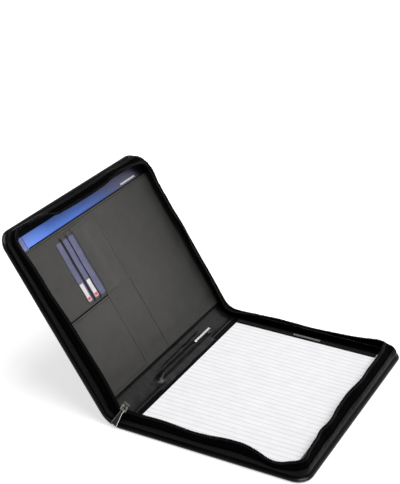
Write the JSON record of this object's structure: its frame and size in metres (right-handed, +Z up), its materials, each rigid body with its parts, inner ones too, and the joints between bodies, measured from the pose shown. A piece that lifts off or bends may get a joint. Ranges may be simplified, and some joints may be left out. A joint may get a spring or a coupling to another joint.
{
  "type": "leather document case",
  "caption": "Zipped leather document case, open on its back, with writing pad, pen, cards and a blue folder in its inner pockets",
  "frame": {"origin": "centre of the flat outer face of the back half, which the open case lies on", "axes": "+X from the spine to the fore edge of the back half, +Y along the spine away from the zip slider, +Z up from the surface it lies on"},
  "size_m": [0.4191, 0.3444, 0.2393],
  "materials": {
    "exterior_leather": "smooth blue-black grain leather, satin",
    "interior_leather": "dark warm-grey fine-grain leather, satin",
    "gusset_leather": "black soft leather, matte",
    "zip_tape": "black woven zip tape with moulded teeth",
    "bright_metal": "bright nickel plate",
    "dull_metal": "dull brushed nickel",
    "pen_barrel": "black lacquer",
    "paper": "white ruled paper, matte",
    "strip_leather": "dark grey leather strip, satin",
    "card": "slate-violet laminated card",
    "folder": "blue translucent folder, glossy"
  },
  "bodies": {
    "case": {"outer_cover": "exterior_leather", "back_lining": "interior_leather", "spine_lining": "interior_leather", "front_lining": "interior_leather", "back_gusset": "gusset_leather", "front_gusset": "gusset_leather", "back_zip_tape": "zip_tape", "front_zip_tape": "zip_tape", "zip_slider": "bright_metal", "pen_pocket": "interior_leather", "pen": "pen_barrel", "pen_clip": "bright_metal", "pad": "paper", "pad_strip": "strip_leather", "strip_plate": "dull_metal", "document_pocket": "interior_leather", "small_pocket": "interior_leather", "card_slot_1": "interior_leather", "card_slot_2": "interior_leather", "card_slot_3": "interior_leather", "card_1": "card", "card_2": "card", "card_3": "card", "document_folder": "folder", "badge_plate": "dull_metal"},
    "pull": {"zip_pull": "dull_metal"}
  },
  "joints": [
    {"name": "pull_hinge", "type": "hinge", "parent": "case", "child": "pull", "pos_m": [-0.11728, -0.17225, 0.03347], "axis": [-0.8846, 0, 0.4664], "range_deg": [0, 150]}
  ]
}
